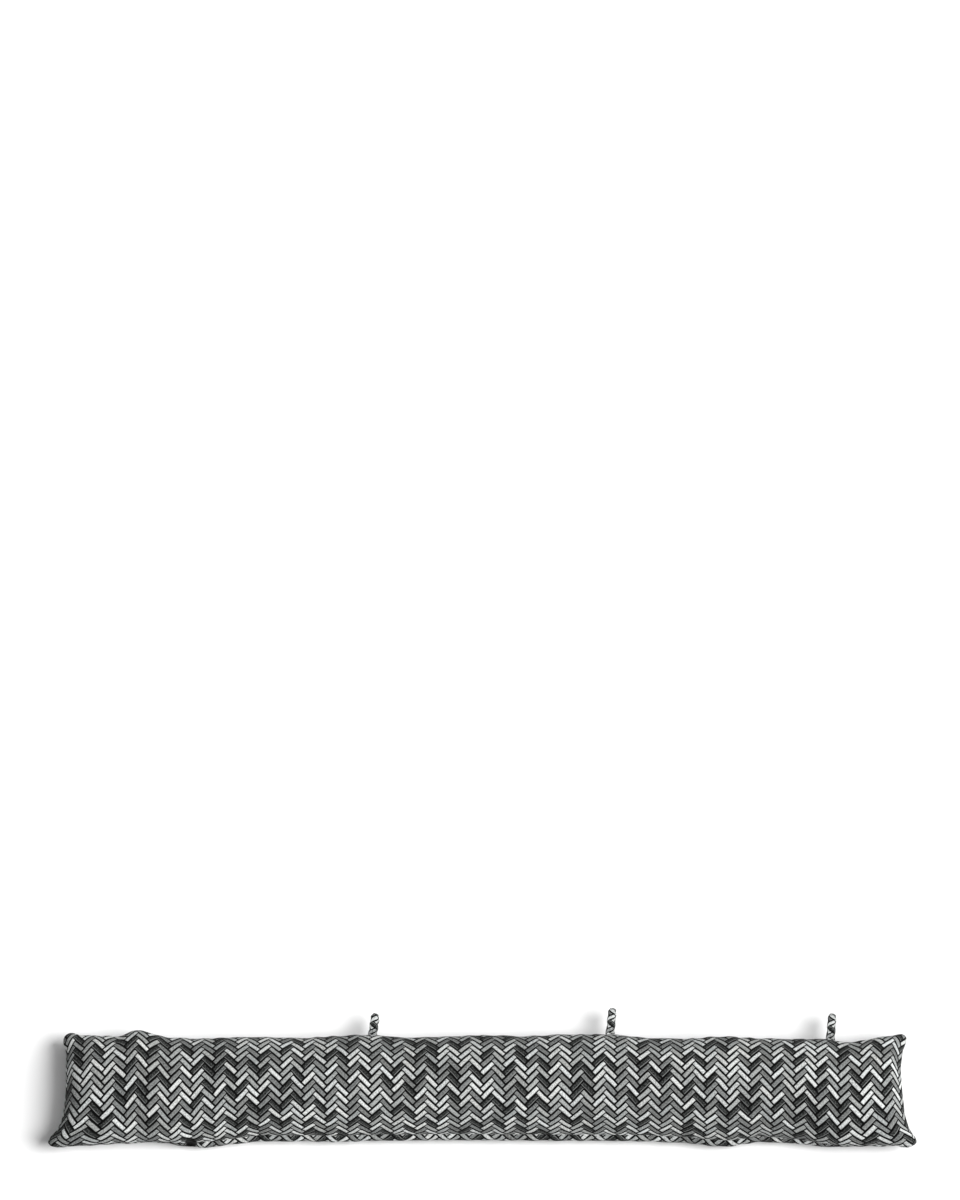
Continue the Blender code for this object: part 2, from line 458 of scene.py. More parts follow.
    @staticmethod
    def _mix(bench: Bench, share: object, low: object, high: object) -> bpy.types.NodeSocket:
        """Mix two colors.

        Args:
            bench: Where nodes go.
            share: How much of the second color shows.
            low: The first color.
            high: The second color.

        Returns:
            The mixed color's socket.
        """
        low = (*low, 1.0) if isinstance(low, tuple) else low
        high = (*high, 1.0) if isinstance(high, tuple) else high
        made = bench.node("ShaderNodeMix", {"data_type": "RGBA"}, {0: share, 6: low, 7: high})
        return made.outputs[2]


@dataclass(frozen=True)
class FloorFinish:
    """A plain pale floor, matt."""

    name: str = "studio_floor"
    color: tuple[float, float, float] = (0.93, 0.93, 0.93)

    def material(self) -> bpy.types.Material:
        """Make the floor's finish.

        Returns:
            The material.
        """
        made = bpy.data.materials.new(self.name)
        made.use_nodes = True
        bench = Bench(made.node_tree)
        shader = bench.node(
            "ShaderNodeBsdfPrincipled", inputs={"Base Color": (*self.color, 1.0), "Roughness": 0.9}
        )
        bench.node("ShaderNodeOutputMaterial", inputs={"Surface": shader.outputs["BSDF"]})
        return made


# ---------------------------------------------------------------- shapes
# Sections of the cushion, in metres; the last column is the share to which the front edge's seam shows.
SECTION_FIELDS = ("x", "loop_edge", "front_edge", "crown", "seam_open")
SECTIONS = (
    (-0.4310, 0.0567, -0.0630, 0.0600, 0.00),
    (-0.4010, 0.0565, -0.0608, 0.0620, 0.00),
    (-0.3790, 0.0560, -0.0592, 0.0640, 0.00),
    (-0.3570, 0.0634, -0.0586, 0.0650, 0.00),
    (-0.3350, 0.0546, -0.0582, 0.0655, 0.00),
    (-0.3160, 0.0532, -0.0610, 0.0660, 0.18),
    (-0.3030, 0.0530, -0.0620, 0.0660, 0.45),
    (-0.2900, 0.0528, -0.0626, 0.0665, 0.82),
    (-0.2600, 0.0537, -0.0586, 0.0680, 1.00),
    (-0.2300, 0.0540, -0.0557, 0.0690, 1.00),
    (-0.1900, 0.0526, -0.0554, 0.0700, 1.00),
    (-0.1500, 0.0550, -0.0560, 0.0700, 1.00),
    (-0.1150, 0.0566, -0.0550, 0.0700, 1.00),
    (-0.0850, 0.0530, -0.0546, 0.0705, 1.00),
    (-0.0450, 0.0540, -0.0543, 0.0705, 1.00),
    (0.0000, 0.0558, -0.0543, 0.0705, 1.00),
    (0.0430, 0.0545, -0.0546, 0.0705, 1.00),
    (0.0850, 0.0566, -0.0548, 0.0700, 1.00),
    (0.1330, 0.0568, -0.0550, 0.0700, 1.00),
    (0.1750, 0.0526, -0.0556, 0.0700, 1.00),
    (0.2150, 0.0522, -0.0575, 0.0690, 1.00),
    (0.2500, 0.0550, -0.0611, 0.0680, 1.00),
    (0.2900, 0.0525, -0.0567, 0.0680, 0.82),
    (0.3250, 0.0521, -0.0583, 0.0670, 0.55),
    (0.3610, 0.0522, -0.0628, 0.0650, 0.18),
    (0.3820, 0.0487, -0.0623, 0.0640, 0.00),
    (0.4050, 0.0529, -0.0616, 0.0620, 0.00),
    (0.4310, 0.0571, -0.0621, 0.0600, 0.00),
)
# Corners of a section's cage, over the front panel and back under the back panel: across and up, as
# shares, with the front edge's seam open, then tucked under.
PROFILE = (
    (-0.903, 0.424, -0.929, 0.385),
    (-0.817, 0.532, -1.000, 0.520),
    (-0.682, 0.680, -0.919, 0.680),
    (-0.502, 0.821, -0.749, 0.810),
    (-0.304, 0.915, -0.532, 0.908),
    (-0.088, 0.976, -0.284, 0.970),
    (0.137, 1.000, -0.019, 1.000),
    (0.353, 0.991, 0.254, 1.000),
    (0.559, 0.938, 0.511, 0.954),
    (0.752, 0.846, 0.735, 0.863),
    (0.908, 0.727, 0.906, 0.737),
    (1.000, 0.592, 1.000, 0.595),
    (0.982, 0.451, 0.979, 0.453),
    (0.996, 0.329, 0.993, 0.331),
    (0.910, 0.188, 0.908, 0.188),
    (0.766, 0.089, 0.767, 0.089),
    (0.586, 0.024, 0.590, 0.024),
    (0.335, 0.003, 0.343, 0.003),
    (0.047, 0.000, 0.060, 0.000),
    (-0.241, 0.000, -0.223, 0.000),
    (-0.493, 0.005, -0.470, 0.005),
    (-0.727, 0.054, -0.700, 0.051),
    (-0.912, 0.154, -0.869, 0.134),
    (-1.000, 0.296, -0.951, 0.243),
)
# Points of an end seam: place across, and how far each end falls short of the full length there.
END_FIELDS = ("across", "left", "right")
END_SEAM = (
    (-1.00, 0.0050, 0.0050),
    (-0.90, 0.0000, 0.0000),
    (-0.70, 0.0100, 0.0090),
    (-0.45, 0.0155, 0.0135),
    (0.00, 0.0192, 0.0160),
    (0.40, 0.0190, 0.0172),
    (0.75, 0.0200, 0.0150),
    (0.88, 0.0195, 0.0125),
    (0.95, 0.0205, 0.0125),
    (1.00, 0.0235, 0.0140),
)


class Panel(Enum):
    """The cushion's two panels, with the place of each one's middle on the cloth."""

    FRONT = 0.0
    BACK = 1.0


@dataclass(frozen=True)
class Fold:
    """A valley that runs between two places on the cushion; a negative depth is a ridge."""

    start: tuple[float, float, float]
    end: tuple[float, float, float]
    depth: float
    width: float

    def dip(self, places: np.ndarray) -> np.ndarray:
        """How far each place sinks.

        Args:
            places: Places on the cushion, one per row.

        Returns:
            A depth for each place, along the inward direction.
        """
        start, run = np.array(self.start), np.array(self.end) - np.array(self.start)
        share = np.clip(((places - start) @ run) / max(run @ run, 1e-12), 0.0, 1.0)
        away = np.linalg.norm(places - start - share[:, None] * run, axis=1)
        return self.depth * np.exp(-((away / self.width) ** 2))


# Centre of the painted shade in the pinched hollow by the front seam, then the folds of the cushion: where
# its cloth is pulled in. (start, end, depth, width)
PINCH_SHADE_SPOT = (-0.3030, -0.0575, 0.0260)
CUSHION_FOLDS = (
    Fold((-0.372, 0.054, 0.040), (-0.398, 0.036, 0.056), 0.0014, 0.007),
    Fold((-0.3033, -0.0540, 0.030), (-0.3033, -0.0440, 0.046), 0.0026, 0.0045),
    Fold((-0.3085, -0.0570, 0.018), (-0.2985, -0.0570, 0.018), 0.0040, 0.0030),
    Fold((-0.4380, -0.0560, 0.030), (-0.4400, -0.0560, 0.030), -0.0030, 0.0070),
    Fold((-0.4290, 0.0500, 0.030), (-0.4300, 0.0520, 0.030), -0.0045, 0.0100),
    Fold((0.4380, -0.0560, 0.030), (0.4400, -0.0560, 0.030), -0.0030, 0.0080),
    Fold((0.4340, 0.0520, 0.030), (0.4360, 0.0540, 0.030), -0.0025, 0.0080),
)


def ease(share: np.ndarray) -> np.ndarray:
    """0 to 1 with a level start and end."""
    share = np.clip(share, 0.0, 1.0)
    return share * share * (3.0 - 2.0 * share)


def soften(values: np.ndarray, spread: float, axis: int, wraps: bool) -> np.ndarray:
    """Average a grid of values along one axis with a bell-shaped weight.

    Args:
        values: The grid.
        spread: The bell's width, in grid steps.
        axis: The axis to average along.
        wraps: Whether that axis joins up with itself.

    Returns:
        The averaged grid.
    """
    reach = int(math.ceil(spread * 3))
    weights = np.exp(-0.5 * (np.arange(-reach, reach + 1) / spread) ** 2)
    weights /= weights.sum()
    pads = [(0, 0)] * values.ndim
    pads[axis] = (reach, reach)
    padded = np.pad(values, pads, mode="wrap" if wraps else "edge")
    return np.apply_along_axis(lambda line: np.convolve(line, weights, mode="valid"), axis, padded)


def resample(lines: np.ndarray, count: int) -> np.ndarray:
    """Put evenly spaced points on each of many lines.

    Args:
        lines: Lines of places, as (line, point, 3).
        count: How many points each line gets.

    Returns:
        The new lines, as (line, count, 3).
    """
    made = np.empty((len(lines), count, 3))
    for line, out in zip(lines, made):
        steps = np.linalg.norm(np.diff(line, axis=0), axis=1)
        run = np.concatenate(([0.0], np.cumsum(steps)))
        wanted = np.linspace(0.0, run[-1], count)
        for part in range(3):
            out[:, part] = np.interp(wanted, run, line[:, part])
    return made


def read_places(mesh: bpy.types.Mesh) -> np.ndarray:
    """A mesh's vertex places, one per row."""
    places = np.empty(len(mesh.vertices) * 3)
    mesh.vertices.foreach_get("co", places)
    return places.reshape(-1, 3)


def write_places(mesh: bpy.types.Mesh, places: np.ndarray) -> None:
    """Set a mesh's vertex places."""
    mesh.vertices.foreach_set("co", places.ravel())
    mesh.update()


def read_normals(mesh: bpy.types.Mesh) -> np.ndarray:
    """A mesh's outward direction at each vertex, one per row."""
    normals = np.empty(len(mesh.vertices) * 3, np.float32)
    mesh.vertex_normals.foreach_get("vector", normals)
    return normals.reshape(-1, 3).astype(float)


def apply_modifiers(piece: bpy.types.Object) -> None:
    """Keep what a piece's modifiers make, and drop the modifiers.

    Args:
        piece: The piece.
    """
    graph = bpy.context.evaluated_depsgraph_get()
    made = bpy.data.meshes.new_from_object(piece.evaluated_get(graph))
    piece.modifiers.clear()
    if piece.data.shape_keys:
        piece.shape_key_clear()
    made.name = piece.name
    piece.data = made


@dataclass
class Cushion:
    """Front and back panel of herringbone cloth, sewn all round and stuffed."""

    name: str = "cushion"
    node: str = "cushion_body"
    length: float = 0.900
    corner_rounding: float = 0.0042
    end_seam_height: float = 0.029
    end_round_run: float = 0.038
    end_bend_run: float = 0.070
    sink: float = 0.0032
    panel_steps: int = 12
    table_spread: float = 0.0070
    panel_width: float = 0.141
    cut_length: float = 0.912
    columns: int = 204
    rows: int = 32
    stations: int = 900
    arc_points: int = 193
    cloth: HerringboneCloth = HerringboneCloth("herringbone_cloth", shade_spot=PINCH_SHADE_SPOT)
    folds: tuple[Fold, ...] = ()
    sim_frames: int = 18
    pressure: float = 6.0
    pucker_cap: float = 0.0030
    pucker_span: float = 0.016
    seam_easing: float = 0.0075
    easing_share: float = 0.24
    seam_groove: float = 0.0016
    seam_groove_width: float = 0.0032
    gather_length: float = 0.023
    gather_reach: float = 0.0055
    gather_height: float = 0.0006

    def build(self) -> bpy.types.Object:
        """Cut, sew, stuff and crease the cushion, and dress it in its cloth.

        Returns:
            The finished piece.
        """
        form, lengths = self._form()
        piece = self._sew(form, lengths)
        ring = self._ring_index(piece, form)
        self._stuff(piece, ring, lengths)
        self._refine(piece)
        self._draw_seams(piece)
        self._press_folds(piece)
        self._rest_flat(piece)
        self._dress(piece)
        return piece

    # ------------------------------------------------ form
    def _table(self, fields: tuple[str, ...], rows: tuple, name: str, key: np.ndarray) -> np.ndarray:
        """Read a column of a table, on straight runs between its rows.

        Args:
            fields: The table's column names.
            rows: Its rows.
            name: The column to read.
            key: Where to read it, on the first column.

        Returns:
            The values.
        """
        grid = np.array(rows)
        return np.interp(key, grid[:, 0], grid[:, fields.index(name)])

    def _mean_short(self, end: str) -> float:
        """How far an end seam falls short of the full length, on average."""
        return float(np.mean([row[END_FIELDS.index(end)] for row in END_SEAM]))

    def _reach(self, end: str) -> float:
        """An end seam's mean distance from the cushion's middle."""
        return self.length / 2 + self.corner_rounding - self._mean_short(end)

    def _ring_weights(self, panel: Panel) -> np.ndarray:
        """Smooth weights of the cage's corners along one panel.

        Args:
            panel: Which panel.

        Returns:
            Weights as (point, corner), from the front edge's seam to the loop edge's seam.
        """
        count = 2 * self.panel_steps
        place = np.linspace(0.0, self.panel_steps, self.arc_points)
        if panel is Panel.BACK:
            place = count - place
        away = np.abs((place[:, None] - np.arange(count) + count / 2) % count - count / 2)
        inner = 2 / 3 - away**2 + away**3 / 2
        outer = np.clip(2.0 - away, 0.0, None) ** 3 / 6
        return np.where(away < 1.0, inner, outer)

    def _half_rings(self, panel: Panel) -> np.ndarray:
        """Sections of one panel, seam to seam, from the left end to the right.

        Args:
            panel: Which panel.

        Returns:
            Places as (station, point, 3).
        """
        share = (1.0 - np.cos(np.linspace(0.0, math.pi, self.stations))) / 2
        x = -self._reach("left") + (self._reach("left") + self._reach("right")) * share
        step = 0.0005
        dense = np.arange(-self.length / 2, self.length / 2 + step, step)
        read = {}
        for name in SECTION_FIELDS[1:]:
            straight = self._table(SECTION_FIELDS, SECTIONS, name, dense)
            read[name] = np.interp(x, dense, soften(straight, self.table_spread / step, 0, False))
        left = x < 0
        inset = np.where(left, x + self._reach("left"), self._reach("right") - x)
        fill = np.sqrt(np.clip(1.0 - np.clip(1.0 - inset / self.end_round_run, 0.0, 1.0) ** 2, 0.0, 1.0))
        hold = 1.0 - ease(inset / self.end_bend_run)
        weights = self._ring_weights(panel)
        shares = np.array(PROFILE)
        opened = read["seam_open"][:, None]
        across = (opened * shares[:, 0] + (1.0 - opened) * shares[:, 2]) @ weights.T
        lift = (opened * shares[:, 1] + (1.0 - opened) * shares[:, 3]) @ weights.T
        half_width = (read["loop_edge"] - read["front_edge"]) / 2
        middle = (read["loop_edge"] + read["front_edge"]) / 2
        height = (read["crown"] + self.sink)[:, None] * lift - self.sink
        bends = {
            end: self._mean_short(end) - self._table(END_FIELDS, END_SEAM, end, across)
            for end in ("left", "right")
        }
        bend = np.where(left[:, None], -bends["left"], bends["right"]) * hold[:, None]
        return np.stack(
            (
                x[:, None] + bend,
                middle[:, None] + half_width[:, None] * across,
                self.end_seam_height + (height - self.end_seam_height) * fill[:, None],
            ),
            axis=2,
        )

    def _form(self) -> tuple[dict[Panel, np.ndarray], tuple[float, float]]:
        """Even grids of places on both stuffed panels.

        Returns:
            A grid for each panel as (column, row, 3), and the cloth's length and width.
        """
        grids = {}
        for panel in Panel:
            rings = resample(self._half_rings(panel), self.rows + 1)
            middle = rings[:, self.rows // 2]
            run = np.concatenate(([0.0], np.cumsum(np.linalg.norm(np.diff(middle, axis=0), axis=1))))
            if panel is Panel.FRONT:
                wanted = np.linspace(0.0, 1.0, self.columns + 1)
                front_run = run / run[-1]
                length = run[-1]
            grid = np.empty((self.columns + 1, self.rows + 1, 3))
            for row in range(self.rows + 1):
                for part in range(3):
                    grid[:, row, part] = np.interp(wanted, front_run, rings[:, row, part])
            grids[panel] = grid
        edge = (grids[Panel.FRONT][[0, -1]] + grids[Panel.BACK][[0, -1]]) / 2
        for panel in Panel:
            grids[panel][[0, -1]] = edge
        LOG.info("cushion: panels %.3f m long, %.3f m wide", length, self.panel_width)
        return grids, (length, self.panel_width)

    # ------------------------------------------------ sewing
    def _sew(self, form: dict[Panel, np.ndarray], lengths: tuple[float, float]) -> bpy.types.Object:
        """Cut both panels as flat grids, put them on the stuffed form and sew them together.

        Args:
            form: The places of each panel's grid.
            lengths: The cloth's length and width.

        Returns:
            The piece, with its cloth map, its baking map and its flat shape as a vertex attribute.
        """
        shape = bmesh.new()
        cloth_map = shape.loops.layers.uv.new(CLOTH_MAP)
        bake_map = shape.loops.layers.uv.new(BAKE_MAP)
        flat = shape.verts.layers.float_vector.new(FLAT_CUT)
        for panel in Panel:
            made = bmesh.ops.create_grid(
                shape, x_segments=self.columns, y_segments=self.rows, size=0.5
            )["verts"]
            places = {vert: (vert.co.x + 0.5, vert.co.y + 0.5) for vert in made}
            faces = list({face for vert in made for face in vert.link_faces})
            for face in faces:
                centre = sum((Vector(places[corner.vert]) for corner in face.loops), Vector((0.0, 0.0))) / 4
                for corner in face.loops:
                    along, across = places[corner.vert]
                    easing = self.seam_easing * max(0.0, 1.0 - across / self.easing_share) ** 2
                    held = easing if panel is Panel.FRONT else 0.0
                    cloth = ((along - 0.5) * lengths[0], (across - 0.5) * lengths[1] - held + panel.value)
                    corner[cloth_map].uv = cloth
                    corner[bake_map].uv = self._bake_place(panel, along, across, centre.x > 0.5)
            for vert, (along, across) in places.items():
                column, row = round(along * self.columns), round(across * self.rows)
                vert[flat] = Vector(((along - 0.5) * self.cut_length, (across - 0.5) * lengths[1], 0.0))
                vert.co = form[panel][column, row]
            if panel is Panel.BACK:
                bmesh.ops.reverse_faces(shape, faces=faces)
        bmesh.ops.remove_doubles(shape, verts=shape.verts, dist=1e-5)
        open_edges = sum(not edge.is_manifold for edge in shape.edges)
        LOG.info("cushion: %d vertices sewn, %d open edges", len(shape.verts), open_edges)
        mesh = bpy.data.meshes.new(self.name)
        shape.to_mesh(mesh)
        shape.free()
        mesh.shade_smooth()
        piece = bpy.data.objects.new(self.name, mesh)
        bpy.context.scene.collection.objects.link(piece)
        return piece

    @staticmethod
    def _bake_place(panel: Panel, along: float, across: float, right: bool) -> tuple[float, float]:
        """A place on the baking map, where the panels lie as four half-panels above each other.

        Args:
            panel: The panel.
            along: Share of the panel's length.
            across: Share of the panel's width.
            right: Whether the face lies in the right half.

        Returns:
            The place, from 0 to 1 both ways.
        """
        strip = 2 * list(Panel).index(panel) + int(right)
        half = (along - 0.5 * right) * 2
        return 0.01 + 0.98 * half * 0.79, 0.01 + (strip + across * 0.98) * 0.245

    def _ring_index(self, piece: bpy.types.Object, form: dict[Panel, np.ndarray]) -> np.ndarray:
        """Which vertex stands at each place round each section.

        Args:
            piece: The sewn piece.
            form: The places of each panel's grid.

        Returns:
            Vertex numbers as (column, place round the section).
        """
        tree = KDTree(len(piece.data.vertices))
        for vertex in piece.data.vertices:
            tree.insert(vertex.co, vertex.index)
        tree.balance()
        rounds = np.concatenate((form[Panel.FRONT][:, :-1], form[Panel.BACK][:, :0:-1]), axis=1)
        found = [[tree.find(place)[1] for place in column] for column in rounds]
        return np.array(found)

    # ------------------------------------------------ stuffing
    def _stuff(self, piece: bpy.types.Object, ring: np.ndarray, lengths: tuple[float, float]) -> None:
        """Press the stuffing against the sewn cloth, and keep only the short unevenness along it.

        Args:
            piece: The sewn piece.
            ring: Vertex numbers round each section.
            lengths: The cloth's length and width.
        """
        form = read_places(piece.data)
        flat = np.empty(len(form) * 3)
        piece.data.attributes[FLAT_CUT].data.foreach_get("vector", flat)
        piece.shape_key_add(name="stuffed")
        cut = piece.shape_key_add(name=FLAT_CUT)
        cut.data.foreach_set("co", flat)
        press = piece.modifiers.new("Cloth", "CLOTH")
        cloth = press.settings
        cloth.quality = 8
        cloth.mass = 0.3
        cloth.tension_stiffness = cloth.compression_stiffness = 60.0
        cloth.shear_stiffness = 15.0
        cloth.bending_stiffness = 0.6
        cloth.tension_damping = cloth.compression_damping = cloth.shear_damping = 20.0
        cloth.bending_damping = 1.0
        cloth.air_damping = 3.0
        cloth.rest_shape_key = cut
        cloth.use_pressure = True
        cloth.uniform_pressure_force = self.pressure
        cloth.effector_weights.gravity = 0.0
        press.collision_settings.use_collision = False
        press.collision_settings.use_self_collision = False
        for moment in range(1, self.sim_frames + 1):
            bpy.context.scene.frame_set(moment)
        apply_modifiers(piece)
        bpy.context.scene.frame_set(1)
        pushed = read_places(piece.data) - form
        # The broad part of the movement is left out: the sections already hold the stuffed form.
        round_push = pushed[ring]
        broad = soften(round_push, self.pucker_span * self.columns / lengths[0], 0, False)
        local = round_push - broad
        size = np.linalg.norm(local, axis=2, keepdims=True)
        local *= self.pucker_cap * np.tanh(size / self.pucker_cap) / np.maximum(size, 1e-9)
        LOG.info("cushion: moved %.4f m at most, puckers %.4f m", np.abs(pushed).max(), np.abs(local).max())
        form[ring] += local
        write_places(piece.data, form)

    def _press_folds(self, piece: bpy.types.Object) -> None:
        """Sink the folds that the cloth's own pull makes.

        Args:
            piece: The stuffed piece.
        """
        places = read_places(piece.data)
        inward = -read_normals(piece.data)
        dips = (fold.dip(places)[:, None] * inward for fold in self.folds)
        moved = places + sum(dips, np.zeros_like(places))
        write_places(piece.data, moved)

    def _refine(self, piece: bpy.types.Object) -> None:
        """Round the cloth between its grid lines with one subdivision.

        Args:
            piece: The stuffed piece.
        """
        rounding = piece.modifiers.new("Rounding", "SUBSURF")
        rounding.levels = rounding.render_levels = 1
        apply_modifiers(piece)

    def _draw_seams(self, piece: bpy.types.Object) -> None:
        """Draw the sewn line in all the way round, and gather the cloth beside it.

        Args:
            piece: The refined piece.
        """
        shape = bmesh.new()
        shape.from_mesh(piece.data)
        cloth_map = shape.loops.layers.uv[CLOTH_MAP]
        tree_places = []
        for edge in shape.edges:
            sides = {round(corner[cloth_map].uv.y) for corner in edge.link_loops}
            if len(sides) == 2:
                tree_places += [vert.co.copy() for vert in edge.verts]
        tree = KDTree(len(tree_places))
        for number, place in enumerate(tree_places):
            tree.insert(place, number)
        tree.balance()
        shape.free()
        places = read_places(piece.data)
        away = np.array([tree.find(place)[2] for place in places])
        depth = self.seam_groove * np.exp(-((away / self.seam_groove_width) ** 2))
        beat = places[:, 0] / self.gather_length * math.tau
        beat += 1.3 * np.sin(places[:, 0] * 47.0 + 0.7) + 0.8 * np.sin(places[:, 0] * 113.0)
        hump = away / self.gather_reach * np.exp(1.0 - away / self.gather_reach)
        depth -= self.gather_height * hump * np.sin(beat) * (0.75 + 0.25 * np.sin(places[:, 0] * 31.0))
        write_places(piece.data, places - read_normals(piece.data) * depth[:, None])

    def _rest_flat(self, piece: bpy.types.Object) -> None:
        """Press the underside flat where the cushion rests.

        Args:
            piece: The creased piece.
        """
        places = read_places(piece.data)
        edge = 0.0008
        places[:, 2] = (places[:, 2] + np.sqrt(places[:, 2] ** 2 + edge**2)) / 2
        places[:, 2] -= places[:, 2].min()
        write_places(piece.data, places)

    def _dress(self, piece: bpy.types.Object) -> None:
        """Give the cushion its cloth and its place in the frame.

        Args:
            piece: The finished piece.
        """
        piece.data.materials.clear()
        piece.data.materials.append(self.cloth.material())
        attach(piece, "root")
        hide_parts(self.node)


@dataclass
class HangingLoop:
    """A rolled strap of the same cloth, folded double with both ends in the long seam."""

    name: str
    node: str
    lean: float
    cloth: HerringboneCloth
    strap_width: float = 0.0088
    strap_thickness: float = 0.0034
    base_spread: float = 0.0018
    eye_radius: float = 0.0048
    spread_run: float = 0.0150
    top_run: float = 0.0042
    top_narrowing: float = 0.62
    root_depth: float = 0.0045
    corners: int = 20
    leg_steps: int = 14
    turn_steps: int = 16

    def build(self) -> bpy.types.Object:
        """Extrude the strap's soft section along the fold.

        Returns:
            The finished piece.
        """
        low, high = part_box(self.node)
        line = self._line(high.y - low.y)
        shape = bmesh.new()
        cloth_map = shape.loops.layers.uv.new(CLOTH_MAP)
        ring = bmesh.ops.create_circle(shape, segments=self.corners, radius=1.0, cap_ends=False)["verts"]
        rings, run = [], [0.0]
        for index, place in enumerate(line):
            if index:
                edges = [edge for edge in shape.edges if edge.verts[0] in ring and edge.verts[1] in ring]
                made = bmesh.ops.extrude_edge_only(shape, edges=edges)["geom"]
                fresh = [part for part in made if isinstance(part, bmesh.types.BMVert)]
                ring = self._in_step(rings[-1], fresh)
                run.append(run[-1] + (place - line[index - 1]).length)
            rings.append(list(ring))
            self._set_ring(ring, line, index)
        self._lay_cloth(shape, cloth_map, rings, run)
        for ends in (rings[0], rings[-1]):
            bmesh.ops.contextual_create(shape, geom=ends)
        bmesh.ops.recalc_face_normals(shape, faces=shape.faces)
        turn = Matrix.Translation(self._foot(low, high)) @ Matrix.Rotation(-self.lean, 4, "Z")
        bmesh.ops.transform(shape, matrix=turn, verts=shape.verts)
        mesh = bpy.data.meshes.new(self.name)
        shape.to_mesh(mesh)
        shape.free()
        mesh.shade_smooth()
        piece = bpy.data.objects.new(self.name, mesh)
        bpy.context.scene.collection.objects.link(piece)
        self._dress(piece)
        return piece

    def _foot(self, low: Vector, high: Vector) -> Vector:
        """Where the strap leaves the seam, from the box of the solid that it replaces.

        Args:
            low: The box's lowest corner.
            high: The box's highest corner.

        Returns:
            The foot's place.
        """
        half_foot = self.strap_width / 2 * math.cos(self.lean)
        rise = self.strap_width / 2 * math.sin(self.lean)
        return Vector((low.x + half_foot, low.y + rise, (low.z + high.z) / 2))

    def _line(self, reach: float) -> list[Vector]:
        """The strap's middle line, from one end round the eye to the other.

        Args:
            reach: How far the loop stands out.

        Returns:
            The places, with Y outward and Z up.
        """
        eye = reach - self.eye_radius - self.strap_thickness / 2
        leg = []
        for step in range(self.leg_steps):
            outward = -self.root_depth + (eye + self.root_depth) * step / self.leg_steps
            spread = float(ease(np.array(outward / self.spread_run)))
            apart = self.base_spread + (self.eye_radius - self.base_spread) * spread
            leg.append(Vector((0.0, outward, apart)))
        turn = []
        for step in range(self.turn_steps + 1):
            angle = math.pi / 2 - math.pi * step / self.turn_steps
            out, up = self.eye_radius * math.cos(angle), self.eye_radius * math.sin(angle)
            turn.append(Vector((0.0, eye + out, up)))
        return leg + turn + [Vector((0.0, place.y, -place.z)) for place in reversed(leg)]

    def _in_step(self, before: list, made: list) -> list:
        """Put new vertices in the order of the ring that they came from.

        Args:
            before: The ring that was extruded.
            made: The new vertices.

        Returns:
            The new vertices, in step with the old ones.
        """
        fresh = set(made)
        return [
            next(edge.other_vert(vert) for edge in vert.link_edges if edge.other_vert(vert) in fresh)
            for vert in before
        ]

    def _set_ring(self, ring: list, line: list[Vector], index: int) -> None:
        """Place the strap's soft section at one point of its line.

        Args:
            ring: The section's vertices.
            line: The strap's middle line.
            index: Which point.
        """
        ahead = line[min(index + 1, len(line) - 1)] - line[max(index - 1, 0)]
        across = Vector((1.0, 0.0, 0.0)).cross(ahead.normalized())
        flare = 1.0 + 0.22 * float(ease(np.array(1.0 - (line[index].y + self.root_depth) / 0.010)))
        top = max(place.y for place in line)
        rounding = max(0.0, 1.0 - (top - line[index].y) / self.top_run)
        flare *= math.sqrt(1.0 - self.top_narrowing * rounding * rounding)
        twist = 0.0003 * math.sin(index * 1.1)
        for number, vert in enumerate(ring):
            angle = math.tau * number / len(ring)
            wide = math.copysign(abs(math.cos(angle)) ** 0.6, math.cos(angle)) * self.strap_width / 2 * flare
            thick = math.copysign(abs(math.sin(angle)) ** 0.8, math.sin(angle)) * self.strap_thickness / 2
            vert.co = line[index] + Vector((wide + twist, 0.0, 0.0)) + across * thick

    def _lay_cloth(self, shape: bmesh.types.BMesh, cloth_map: object, rings: list, run: list[float]) -> None:
        """Lay the cloth's own map round and along the strap.

        Args:
            shape: The strap.
            cloth_map: The map to fill.
            rings: The strap's rings, in order.
            run: Each ring's distance along the strap.
        """
        around = {vert: number for ring in rings for number, vert in enumerate(ring)}
        along = {vert: run[index] for index, ring in enumerate(rings) for vert in ring}
        girth = 2 * (self.strap_width + self.strap_thickness) * 0.92
        for face in shape.faces:
            numbers = [around[corner.vert] for corner in face.loops]
            wraps = max(numbers) - min(numbers) > 1
            for corner, number in zip(face.loops, numbers):
                share = (number + (len(rings[0]) if wraps and number == 0 else 0)) / len(rings[0])
                corner[cloth_map].uv = (along[corner.vert], share * girth)

    def _dress(self, piece: bpy.types.Object) -> None:
        """Give the loop its cloth and its place in the frame.

        Args:
            piece: The finished piece.
        """
        piece.data.materials.append(self.cloth.material())
        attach(piece, "root")
        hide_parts(self.node)


# ---------------------------------------------------------------- studio
@dataclass(frozen=True)
class Lamp:
    """A far, broad light; azimuth is counted from +X toward +Y, in degrees."""

    name: str
    azimuth: float
    elevation: float
    strength: float
    spread: float

    def build(self) -> None:
        """Hang the lamp."""
        light = bpy.data.lights.new(self.name, "SUN")
        light.energy = self.strength
        light.angle = math.radians(self.spread)
        lamp = bpy.data.objects.new(self.name, light)
        around, above = math.radians(self.azimuth), math.radians(self.elevation)
        level = math.cos(above)
        toward = Vector((math.cos(around) * level, math.sin(around) * level, math.sin(above)))
        lamp.rotation_euler = toward.to_track_quat("Z", "Y").to_euler()
        bpy.context.scene.collection.objects.link(lamp)


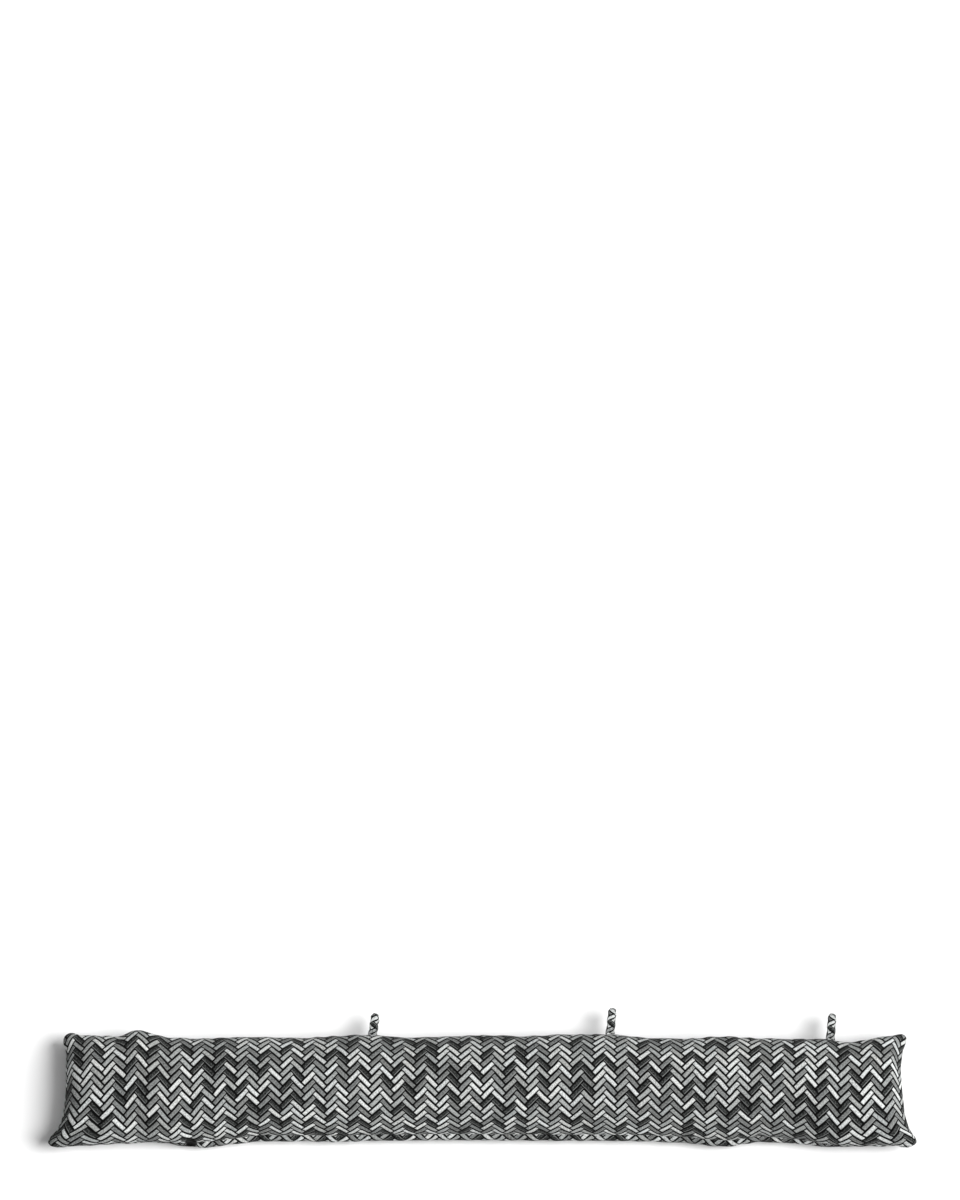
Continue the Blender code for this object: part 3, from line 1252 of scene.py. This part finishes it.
@dataclass
class Studio:
    """A pale floor, soft light from the right and from above, and the camera."""

    floor_size: float = 24.0
    focal_length: float = 300.0
    sensor: float = 36.0
    frame_width: int = 960
    frame_height: int = 1200
    sight_elevation: float = math.radians(78.0)
    sight_target: tuple[float, float, float] = (0.0, -0.0016, 0.035)
    target_pixel: tuple[float, float] = (482.5, 1089.0)
    metres_per_pixel: float = 0.0010405
    lamps: tuple[Lamp, ...] = (
        Lamp("key_light", azimuth=-12.0, elevation=55.0, strength=3.20, spread=34.0),
        Lamp("low_light", azimuth=2.0, elevation=26.0, strength=1.50, spread=46.0),
        Lamp("top_light", azimuth=-80.0, elevation=82.0, strength=0.60, spread=44.0),
    )
    sky: float = 0.10

    def build(self) -> None:
        """Lay the floor, hang the lights and set the camera up."""
        self._floor()
        self._lights()
        self._camera()
        bpy.context.scene.view_settings.view_transform = "Standard"

    def _floor(self) -> None:
        """One wide flat sheet under the cushion."""
        shape = bmesh.new()
        bmesh.ops.create_grid(shape, x_segments=2, y_segments=2, size=self.floor_size / 2)
        mesh = bpy.data.meshes.new("floor")
        shape.to_mesh(mesh)
        shape.free()
        mesh.materials.append(FloorFinish().material())
        floor = bpy.data.objects.new("floor", mesh)
        bpy.context.scene.collection.objects.link(floor)

    def _lights(self) -> None:
        """Hang each lamp, in an evenly bright room."""
        for lamp in self.lamps:
            lamp.build()
        world = bpy.data.worlds.new("studio_room")
        world.use_nodes = True
        glow = world.node_tree.nodes["Background"]
        glow.inputs["Color"].default_value = (1.0, 1.0, 1.0, 1.0)
        glow.inputs["Strength"].default_value = self.sky
        bpy.context.scene.world = world

    def _camera(self) -> None:
        """Aim past the cushion, so that it lies low in the frame, seen almost from above."""
        per_radian = self.focal_length / self.sensor * max(self.frame_width, self.frame_height)
        down = self.target_pixel[1] - self.frame_height / 2
        right = self.target_pixel[0] - self.frame_width / 2
        axis_elevation = self.sight_elevation - math.atan(down / per_radian)
        look = Vector((0.0, math.cos(axis_elevation), -math.sin(axis_elevation)))
        up = Vector((0.0, math.sin(axis_elevation), math.cos(axis_elevation)))
        depth = per_radian * self.metres_per_pixel
        place = Vector(self.sight_target) - look * depth
        place += up * down * self.metres_per_pixel - Vector((1.0, 0.0, 0.0)) * right * self.metres_per_pixel
        lens = bpy.data.cameras.new("camera")
        lens.lens = self.focal_length
        lens.sensor_width = self.sensor
        lens.clip_end = 100.0
        camera = bpy.data.objects.new("camera", lens)
        camera.location = place
        camera.rotation_euler = look.to_track_quat("-Z", "Y").to_euler()
        bpy.context.scene.collection.objects.link(camera)
        bpy.context.scene.camera = camera


def main() -> None:
    """Build the studio, the cushion and its three loops."""
    Studio().build()
    cushion = Cushion(folds=CUSHION_FOLDS).build()
    LOG.info("%s: %d faces", cushion.name, len(cushion.data.polygons))
    strap = HerringboneCloth("strap_cloth", bar_length=0.0090, bar_width=0.0036, relief=0.0003)
    for side, lean in (("left", 8.0), ("middle", 6.0), ("right", 5.0)):
        loop = HangingLoop(f"hanging_loop_{side}", f"loop_{side}", math.radians(lean), strap).build()
        LOG.info("%s: %d faces", loop.name, len(loop.data.polygons))


if __name__ == "__main__":
    main()
